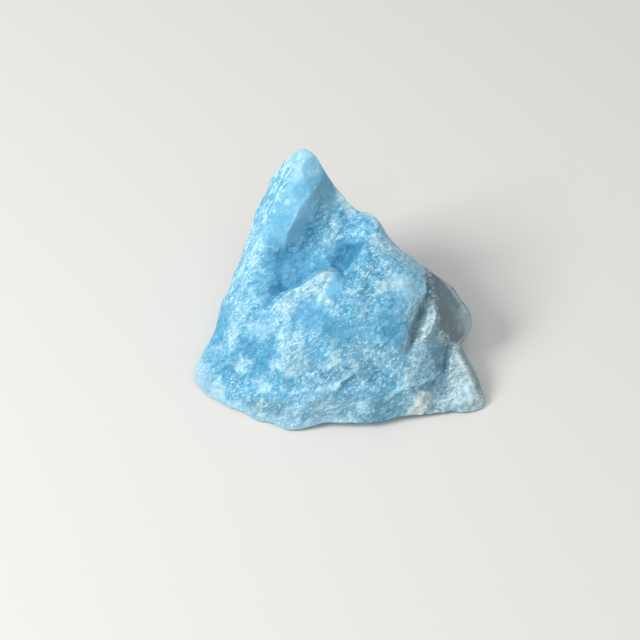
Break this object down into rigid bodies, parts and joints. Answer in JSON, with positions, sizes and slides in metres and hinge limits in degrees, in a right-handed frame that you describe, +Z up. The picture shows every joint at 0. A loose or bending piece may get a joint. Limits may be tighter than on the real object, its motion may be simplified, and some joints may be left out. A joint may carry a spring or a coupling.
{
  "type": "rough aquamarine crystal",
  "caption": "Broken piece of rough milky-blue aquamarine with a tall horn, a broad grainy face and a side toe, resting on a flat broken base.",
  "frame": {"origin": "on the surface that the stone rests on, under the middle of its box", "axes": "+X along the stone's longest side, from the rounded left foot to the toe; +Y from the broad face to the back, where the horn stands; +Z up"},
  "size_m": [0.039, 0.03, 0.0262],
  "materials": {
    "milky_beryl": "satin"
  },
  "bodies": {
    "root": {"aquamarine": "milky_beryl"}
  },
  "joints": []
}
